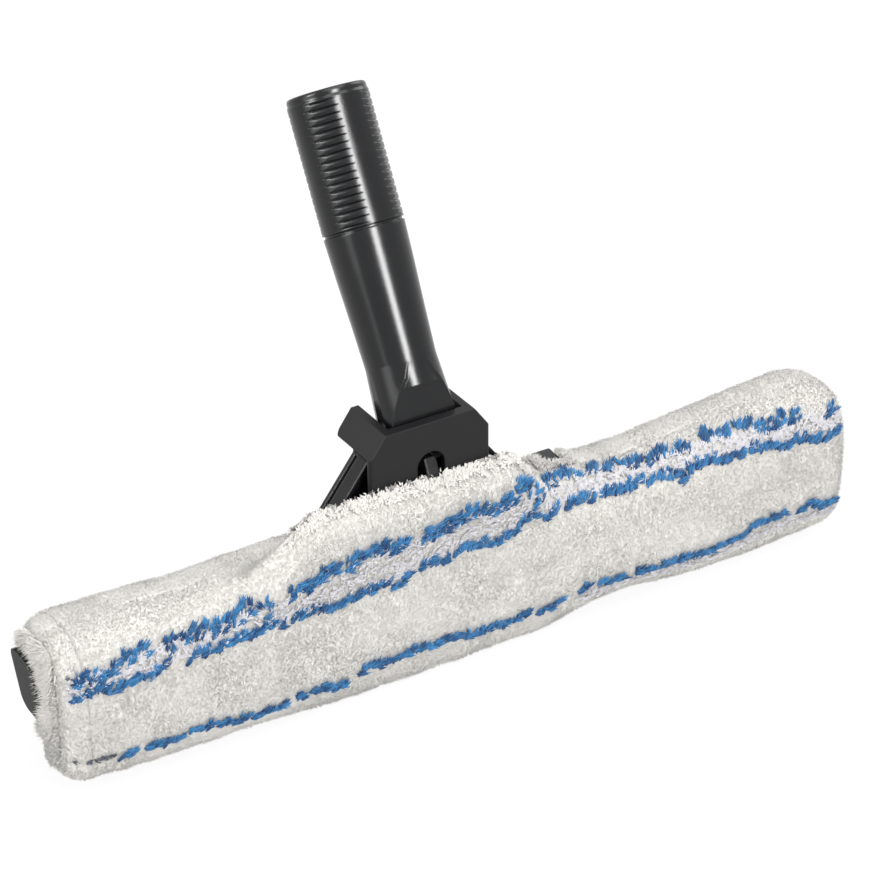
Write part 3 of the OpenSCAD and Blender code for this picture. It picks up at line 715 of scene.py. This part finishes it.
class SCRUBBER_OT_pile(bpy.types.Operator):
    """Body of the fleece: the pile, the hem at the open end and the panel at the closed end"""

    bl_idname = "scrubber.pile"
    bl_label = "Fleece body"

    def execute(self, context):
        s = context.scene.scrubber_sleeve
        pile = fleece("pile_white", s.pile, s.pile_shade, 0.5)
        hem = fleece("hem_white", s.pile, s.pile_shade, 0.6)
        for name, node, slot, x0, x1, closed, material in (
                ("fleece_body", "sleeve_pile", "white_pile",
                 PILE_LOW[0] - SEAM_LAP, PILE_HIGH[0] + SEAM_LAP, False, pile),
                ("fleece_hem", "sleeve_hem", "hem_pile", HEM_LOW[0], HEM_HIGH[0], False, hem),
                ("fleece_end", "end_panel", "end_pile", PANEL_LOW[0], PANEL_HIGH[0], True, pile)):
            rows, wraps = tube_wall(x0, x1, s.step, closed)
            rows, lump = lumpy(rows, s.lumps, s.seed)
            rows = fit_room(rows)
            faces = grid_faces(*rows.shape[:2], close_rows=wraps)
            piece = new_mesh(name, rows, faces[:, ::-1], material)
            # Painted shade: the pile is coloured darker where its lumps sink in and lighter on their tops
            point_value(piece, "shade", np.clip(0.5 - lump.ravel() * 0.4, 0, 1))
            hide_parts(node)
            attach(piece, HEAD)
        return {"FINISHED"}


def drawn_corner(p, a):
    """The open end's lower back corner, drawn in towards the bar and away from the end."""
    length, shift = 16, np.array((5.5, -4.0, 3.0))
    s, c = sine_cosine(a)
    part = smooth((SLEEVE_LEFT + length - p[..., 0]) / length)
    part = part * smooth(0.6 - 2 * s) * smooth(0.5 + 2 * c)
    return p + part[..., None] * shift


def scattered(rng, count, x0, x1):
    """Random places and directions, spread evenly over the sleeve: cells of a grid are drawn in
    proportion to their area, and a place is drawn inside each. The cells are finer at both ends."""
    end_rows, rows, around = 16, 220, 300
    turn = END_ROUND * (1 - np.cos(np.linspace(0, math.pi / 2, end_rows)))
    middle = np.linspace(x0 + END_ROUND, x1 - END_ROUND, rows)
    xs = np.concatenate([x0 + turn[:-1], middle, x1 - turn[-2::-1]])
    a = even_angles(around + 1)
    p = skin(xs[:, None], a[None])
    corner = p[:-1, :-1]
    area = np.linalg.norm(np.cross(p[1:, :-1] - corner, p[:-1, 1:] - corner), axis=-1)
    i, j = np.divmod(rng.choice(area.size, count, p=area.ravel() / area.sum()), area.shape[1])
    u, v = rng.uniform(0, 1, (2, count))
    return xs[i] + u * (xs[i + 1] - xs[i]), a[j] + v * (a[j + 1] - a[j])


def frame_on(x, a):
    """At places on the sleeve: the outward normal, and the surface's own directions along the
    bar and upwards."""
    n = normals_of(x, a)
    bar = np.zeros_like(n)
    bar[:, 0] = 1
    bar = unit(bar - n * (bar * n).sum(-1, keepdims=True))
    up = np.cross(n, bar)
    up *= np.where(up[:, 2:] < 0, -1, 1)
    return n, bar, up


def planted(name, base, ground, axis, rng, length, width, curl, shade, material, share, rings=1,
            side=None, slot="white_pile"):
    """A piece of tufts with a shade each, kept above the floor; painted shade darkens each tuft
    towards its foot, so it is lighter towards its tip. They are lit as the ground under them by share, and
    bend towards side, or anywhere if it is None."""
    own_shade, painted_foot_shade = 0.65, 0.35
    axis = unit(axis)
    side = rng.normal(0, 1, base.shape) if side is None else side
    points, faces, normals, height, per = tuft_mesh(
        base, axis, side, length, width, curl, ground, share, rings)
    points[:, 2] = np.maximum(points[:, 2], 0)
    piece = new_mesh(name, points, faces, material, normals=normals)
    # Painted shade: each tuft's colour runs darker towards its foot, where the tufts shade each other
    value = np.repeat(shade, per) * own_shade + painted_foot_shade * (1 - height)
    point_value(piece, "shade", np.clip(value, 0, 1))
    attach(piece, HEAD)
    return piece


def clumps(name, x, a, turn, rng, each, length, width, spread, stand, shade, **look):
    """Bundles that lie on the pile: each has a number of tufts, leans from the bar upwards by
    turn degrees, spreads by spread and rises by stand."""
    n, bar, up = (np.repeat(v, each, 0) for v in frame_on(x, a))
    base = np.repeat(fit_room(skin(x, a)), each, 0)
    count = len(base)
    base = base + (bar * rng.normal(0, spread, (count, 1)) + up * rng.normal(0, spread, (count, 1))
                   + n * rng.uniform(0.2, 0.9, (count, 1)))
    lie = np.radians(np.repeat(turn, each) + rng.normal(0, 9, count))[:, None]
    axis = bar * np.cos(lie) + up * np.sin(lie) + n * (stand + rng.normal(0, 0.12, (count, 1)))
    return planted(name, base, n, axis, rng,
                   length=length * rng.uniform(0.7, 1.15, count),
                   width=width * rng.uniform(0.75, 1.2, count), curl=rng.normal(0, 0.35, count),
                   shade=np.clip(np.repeat(shade, each) + rng.normal(0, 0.12, count), 0, 1),
                   rings=2, **look)


class SCRUBBER_OT_nap(bpy.types.Operator):
    """Fine tufts all over the fleece and on both of its ends"""

    bl_idname = "scrubber.nap"
    bl_label = "Fine tufts"

    def execute(self, context):
        s = context.scene.scrubber_sleeve
        pile = bpy.data.materials["pile_white"]
        rng = np.random.default_rng(s.seed)
        edge, floor_gap, sunk = 0.02, 1.2, 0.55
        for k in range(s.layers):
            x, a = scattered(rng, s.tufts, SLEEVE_LEFT + edge, SLEEVE_RIGHT - edge)
            keep = skin(x, a)[:, 2] > floor_gap
            x, a = x[keep], a[keep]
            count = len(x)
            n, bar, up = frame_on(x, a)
            base = fit_room(lumpy(drawn_corner(skin(x, a), a), s.lumps, s.seed)[0]) - n * sunk
            along_bar, upwards = noise(base, 13, s.seed + 5)[:, None], noise(base, 11, s.seed + 6)[:, None]
            axis = n * 0.8 + bar * along_bar * 0.4 + up * (upwards * 0.4 - 0.2)
            axis = axis + rng.normal(0, 0.2, (count, 3))
            planted(f"fleece_nap_{k + 1}", base, n, axis, rng,
                    length=s.tuft_length * rng.uniform(0.6, 1.2, count),
                    width=rng.uniform(0.4, 0.75, count), curl=rng.uniform(0, 0.3, count),
                    shade=rng.uniform(0, 0.3, count), material=pile, share=1.0)
        self.end_nap("fleece_nap_open_end", SLEEVE_LEFT, -1, rng, pile)
        self.end_nap("fleece_nap_closed_end", SLEEVE_RIGHT, 1, rng, pile)
        return {"FINISHED"}

    def end_nap(self, name, x, out, rng, pile):
        """Tufts on the end face at x, which looks along the bar by out: places inside the section,
        and at the open end outside the tube's hole, with a collar of longer tufts that bend over
        the hole's edge."""
        tufts, collar_tufts, start, end = 14000, 4200, 50, 265
        gap, low_z = 0.2, 0.6
        drawn = END_DRAWN * END_ROUND
        half_y = SLEEVE_D / 2 - drawn
        top, low = (SLEEVE_H / 2 - drawn + along(table, x) for table in (LIFT, SAG))
        y = rng.uniform(-half_y, half_y, tufts)
        z = rng.uniform(-low, top, tufts)
        above, below = (np.abs(y / half_y)**e + np.abs(z / reach)**e
                        for e, reach in ((TOP_SQUARE, top), (LOW_SQUARE, low)))
        inside = np.where(z > 0, above, below) < 1
        z = z + SLEEVE_MID
        if out < 0:
            hole_y, hole_z = LINING_HIGH[1] + gap, HOLE_HALF + gap
            inside &= (np.abs(y) > hole_y) | (np.abs(z - HOLE_MID) > hole_z)
        y, z = y[inside], z[inside]
        collar = np.zeros(len(y))
        if out < 0:
            turn = rng.uniform(start, end, collar_tufts)
            wide = rng.uniform(1.0, 1.13, len(turn))
            edge = squared_ellipse(*sine_cosine(turn), hole_y * wide, hole_z * wide, HOLE_MID, HOLE_SQUARE)
            y, z = np.append(y, edge[0]), np.append(z, edge[1])
            collar = np.append(collar, smooth((turn - start) / 30) * smooth((end - turn) / 25))
        z = np.maximum(z, low_z)
        count = len(y)
        base = np.stack([x - out * (0.3 + 1.4 * collar), y, z], -1)
        base = drawn_corner(base, np.degrees(np.arctan2(z - SLEEVE_MID, y)))
        away = unit(spread_out(0.0, y, z - SLEEVE_MID))
        face = np.array([out, 0, 0])
        ground = unit(away * 0.5 + face + collar[:, None] * np.array([0.3, -1.3, 0.3]), 0)
        axis = face + rng.normal(0, 0.28, (count, 3)) + away * 0.25
        side = rng.normal(0, 1, (count, 3)) - 4 * collar[:, None] * away
        planted(name, base, ground, axis, rng,
                length=rng.uniform(1.9, 3.4, count) + collar * rng.uniform(2.6, 5.6, count),
                width=rng.uniform(0.45, 0.85, count),
                curl=rng.uniform(0, 0.8, count) + collar * rng.uniform(0.5, 5, count),
                shade=rng.uniform(0, 0.4, count), material=pile, share=0.95,
                rings=2, side=side)


class SCRUBBER_OT_yarn(bpy.types.Operator):
    """Lines of coarse blue scrubbing yarn, in broken bundles that slant across the line"""

    bl_idname = "scrubber.yarn"
    bl_label = "Yarn lines"

    def execute(self, context):
        s = context.scene.scrubber_sleeve
        material = yarn_finish("yarn_blue", s.yarn, s.yarn_shade)
        for k, (name, route, half, pitch, long) in enumerate((
                ("upper", YARN_UPPER, 2.6, 0.72, 4.0), ("middle", YARN_MIDDLE, 1.4, 0.95, 3.6),
                ("lower", YARN_LOWER, 1.4, 0.9, 3.4))):
            rng = np.random.default_rng(s.seed + 10 + k)
            low, high = corner_mm("scrub_yarn_" + name)
            x = np.arange(low[0] + 0.5, high[0] - 1.5, pitch)
            x = x + rng.normal(0, pitch * 0.35, len(x))
            line = spread_out(x, 0, 0)
            x, line = (v[noise(line, 4.0, s.seed + 20 + k) > -0.6] for v in (x, line))
            a = on_route(route, x)
            per_degree = np.linalg.norm(skin(x, a + 1) - skin(x, a - 1), axis=-1) / 2
            drift = noise(line, 7.0, s.seed + 30 + k) * 1.7
            a = a + (rng.uniform(-half, half, len(x)) + drift + 1.2) / np.maximum(per_degree, 0.3)
            piece = clumps("scrub_tufts_" + name, x, a, rng.normal(56, 22, len(x)), rng, each=9,
                           length=long, width=0.8, spread=0.45, stand=0.42,
                           shade=rng.beta(0.5, 0.5, len(x)), material=material, share=0.15,
                           slot="blue_yarn")
            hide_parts("scrub_yarn_" + name)
        return {"FINISHED"}


class SCRUBBER_OT_rough(bpy.types.Operator):
    """Coarse white tufts: between the two upper yarn lines, on the lip, under the lowest line and
    round the strap"""

    bl_idname = "scrubber.rough"
    bl_label = "Coarse white tufts"

    def execute(self, context):
        s = context.scene.scrubber_sleeve
        rng = np.random.default_rng(s.seed + 40)
        material = yarn_finish("rough_white", s.rough, s.rough_shade)
        pile = bpy.data.materials["pile_white"]
        x = rng.uniform(SLEEVE_LEFT + 2, SLEEVE_RIGHT - 3, s.rough_clumps)
        mix = rng.uniform(0.1, 0.95, len(x))
        a = on_route(YARN_UPPER, x) * (1 - mix) + on_route(YARN_MIDDLE, x) * mix
        clumps("fleece_rough_band", x, a, rng.uniform(-40, 140, len(x)), rng, each=6, length=2.0,
               width=0.6, spread=0.45, stand=0.45, shade=rng.uniform(0, 0.7, len(x)),
               material=material, share=0.85)
        x = rng.uniform(LIP_FROM - 4, LIP_TO + 3, s.rough_clumps // 3)
        a = rng.uniform(112, 132, len(x))
        clumps("fleece_rough_lip", x, a, rng.normal(90, 60, len(x)), rng, each=9, length=1.7,
               width=0.85, spread=0.7, stand=0.75, shade=rng.uniform(0, 0.4, len(x)),
               material=pile, share=0.8)
        x = rng.uniform(60, SLEEVE_RIGHT - 4, s.rough_clumps // 4)
        a = on_route(YARN_LOWER, x) + rng.uniform(6, 16, len(x))
        clumps("fleece_rough_low", x, a, rng.normal(60, 35, len(x)), rng, each=6, length=1.8,
               width=0.6, spread=0.4, stand=0.4, shade=rng.uniform(0, 0.5, len(x)),
               material=material, share=0.9)
        round_strap = 340
        x = rng.uniform(STRAP_LOW[0] - 5, STRAP_HIGH[0] + 3, round_strap)
        y = rng.uniform(STRAP_LOW[1] - 3, STRAP_LOW[1] + 8, round_strap)
        keep = (x < STRAP_LOW[0] - 0.5) | (x > STRAP_HIGH[0] + 0.5) | (y < STRAP_LOW[1] - 0.3)
        x, y = x[keep], y[keep]
        over_top = np.linspace(30, 150, 481)
        across = skin(x[:, None], over_top[None])[..., 1]
        a = over_top[np.abs(across - y[:, None]).argmin(1)]
        clumps("fleece_rough_strap", x, a, rng.uniform(0, 360, len(x)), rng, each=8, length=2.7,
               width=0.7, spread=0.6, stand=1.3, shade=rng.uniform(0, 0.5, len(x)),
               material=pile, share=0.85)
        return {"FINISHED"}


class SCRUBBER_OT_hem_seam(bpy.types.Operator):
    """Thread of the seam between the hem and the pile, and the grey yarn ends caught in it"""

    bl_idname = "scrubber.hem_seam"
    bl_label = "Hem seam"

    def execute(self, context):
        s = context.scene.scrubber_sleeve
        rng = np.random.default_rng(s.seed + 50)
        thread = Finish("seam_thread", roughness=0.7, base_color=rgba(srgb(206, 204, 204)))
        thread.bump(thread.cloud(4000, 2, stretch=(0.2, 1, 1)), 0.00004)
        a = np.arange(0, 360, 2.6)
        x = np.full(len(a), HEM_HIGH[0] + 0.3)
        n, bar, up = frame_on(x, a)
        base = drawn_corner(skin(x, a), a) + n * 0.2 - up * 0.9
        each = np.ones(len(a))
        planted("seam_stitches", base, n, up + bar * 0.12, rng, length=2.0 * each,
                width=0.6 * each, curl=0 * each, shade=0.4 * each, material=thread.material,
                share=0.2, rings=2, slot="hem_pile")
        grey = yarn_finish("yarn_grey", srgb(120, 126, 140), srgb(60, 64, 74))
        at_foot, at_cap = 26, 3
        x = np.concatenate([rng.uniform(-157, -142, at_foot), rng.uniform(-158, -154, at_cap)])
        a = np.concatenate([197.5 + rng.normal(0, 0.8, at_foot), 147 + rng.normal(0, 1, at_cap)])
        clumps("seam_grey_ends", x, a, rng.normal(15, 25, len(x)), rng, each=3, length=2.2,
               width=0.45, spread=0.2, stand=0.4, shade=rng.uniform(0.2, 1, len(x)), material=grey,
               share=0.35, slot="blue_yarn")
        return {"FINISHED"}


class SCRUBBER_OT_lining(bpy.types.Operator):
    """Knitted lining tube inside the fleece, with its slit for the yoke and its closed end"""

    bl_idname = "scrubber.lining"
    bl_label = "Lining"

    def execute(self, context):
        material = lining_cloth("lining_white", srgb(222, 220, 214))
        inset, wall_thickness, end_seam = 0.5, 0.8, 6
        slit_x, slit_y = 47, 7.3
        around, rings, end_rings, square = 96, 230, 11, 0.42
        low, high = LINING_LOW + inset, LINING_HIGH - inset
        half_y, half_z, middle = high[1], (high[2] - low[2]) / 2, (high[2] + low[2]) / 2
        s, c = sine_cosine(np.arange(around) * 360 / around + 1.875)
        y, z = squared_ellipse(s, c, half_y, half_z, middle, square)
        xs = np.linspace(low[0], high[0], rings)
        rows = spread_out(xs[:, None], y, z)
        rows[..., 1] += noise(rows, 14, 3) * 0.2 * c
        k = np.linspace(1, 0.02, end_rings + 1)[1:, None]
        rows = np.concatenate([rows, spread_out(xs[-1], k * y, middle + k * (z - middle))])
        faces = grid_faces(len(rows), around)
        centre = rows.reshape(-1, 3)[faces].mean(1)
        slit = (np.abs(centre[:, 0]) < slit_x) & (np.abs(centre[:, 1]) < slit_y) & (centre[:, 2] > middle)
        faces = faces[~slit]
        piece = new_mesh("lining_knit", rows, faces[:, ::-1], material)
        wall = piece.modifiers.new("wall", "SOLIDIFY")
        wall.thickness, wall.offset = wall_thickness * MM, 0
        q = rows.reshape(-1, 3)[faces]
        area = 0.5 * np.linalg.norm(np.cross(q[:, 2] - q[:, 0], q[:, 3] - q[:, 1]), axis=-1).sum()
        girth = np.linalg.norm(np.roll(rows[0], -1, 0) - rows[0], axis=-1).sum()
        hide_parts("sleeve_lining")
        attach(piece, HEAD)
        return {"FINISHED"}


class SCRUBBER_OT_strap(bpy.types.Operator):
    """Closing strap of ribbed tape and the hook patch under it"""

    bl_idname = "scrubber.strap"
    bl_label = "Closing strap"

    def execute(self, context):
        tape = woven_tape("tape_black", srgb(34, 34, 37))
        thick, flat, tip = 1.1, 8.0, STRAP_HIGH[1] - STRAP_LOW[1]
        path = np.linspace(0, tip, 60)
        rise = (STRAP_HIGH[2] - STRAP_LOW[2] - thick - 0.1) * smooth((path - flat) / (tip - flat))
        self.band("closure_strap_tape", STRAP_LOW[0], STRAP_HIGH[0], STRAP_LOW[1] + path,
                  STRAP_LOW[2] + thick / 2 + rise, thick, 9.5, tape, "closure_strap")
        path = np.linspace(PATCH_LOW[1], PATCH_HIGH[1], 50)
        height = np.full(len(path), PATCH_LOW[2] + 0.38)
        self.band("hook_patch_tape", PATCH_LOW[0], PATCH_HIGH[0], path, height, 0.7, 16, tape,
                  "hook_patch")
        return {"FINISHED"}

    def band(self, name, x0, x1, y, z, thick, cords, material, node):
        """A flat band carried along the path (y, z): its section is a very flat squared ellipse
        whose faces rise and fall with the tape's cords, closed at both ends by rounding off."""
        around, cord_depth, end_square = 120, 0.12, 24
        narrow, thin = 0.9, 0.02
        a = np.linspace(0, 2 * math.pi, around, endpoint=False)
        half, middle = (x1 - x0) / 2, (x0 + x1) / 2
        u = signed_power(np.cos(a), 0.35)
        w = signed_power(np.sin(a), 0.5)
        ridge = 1 + cord_depth * np.cos(u * cords * math.pi)
        s = np.linspace(0, 1, len(y))[:, None]
        close = np.sqrt(np.clip(1 - (2 * np.abs(s - 0.5))**end_square, 0, 1))
        close[[0, -1]] = thin
        across = middle + u * half * (narrow + 0.1 * close) * np.minimum(1, close + narrow)
        rows = spread_out(across, y[:, None], z[:, None] + w * ridge * thick / 2 * close)
        rows[[0, -1], :, 0] = middle + u * half * narrow
        piece = new_mesh(name, rows, grid_faces(len(rows), around), material)
        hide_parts(node)
        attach(piece, HEAD)


class SCRUBBER_PT_panel(bpy.types.Panel):
    """Lists the operators in the sidebar"""

    bl_label = "Scrubber"
    bl_space_type = "VIEW_3D"
    bl_region_type = "UI"
    bl_category = "Scrubber"

    def draw(self, context):
        for operator in OPERATORS:
            self.layout.operator(operator.bl_idname)


OPERATORS = (SCRUBBER_OT_stage, SCRUBBER_OT_hard_parts, SCRUBBER_OT_pile, SCRUBBER_OT_nap, SCRUBBER_OT_yarn,
             SCRUBBER_OT_rough, SCRUBBER_OT_hem_seam, SCRUBBER_OT_lining, SCRUBBER_OT_strap)
SETTINGS = {"scrubber_sleeve": SleeveSettings, "scrubber_plastic": PlasticSettings,
            "scrubber_stage": StageSettings}


def register():
    for cls in (*SETTINGS.values(), *OPERATORS, SCRUBBER_PT_panel):
        bpy.utils.register_class(cls)
    for name, cls in SETTINGS.items():
        setattr(bpy.types.Scene, name, PointerProperty(type=cls))


def unregister():
    for name in SETTINGS:
        delattr(bpy.types.Scene, name)
    for cls in (SCRUBBER_PT_panel, *reversed(OPERATORS), *reversed(SETTINGS.values())):
        bpy.utils.unregister_class(cls)


def main():
    register()
    bpy.ops.scrubber.stage()
    bpy.ops.scrubber.hard_parts()
    bpy.ops.scrubber.pile()
    bpy.ops.scrubber.nap()
    bpy.ops.scrubber.yarn()
    bpy.ops.scrubber.rough()
    bpy.ops.scrubber.hem_seam()
    bpy.ops.scrubber.lining()
    bpy.ops.scrubber.strap()


if __name__ == "__main__":
    main()
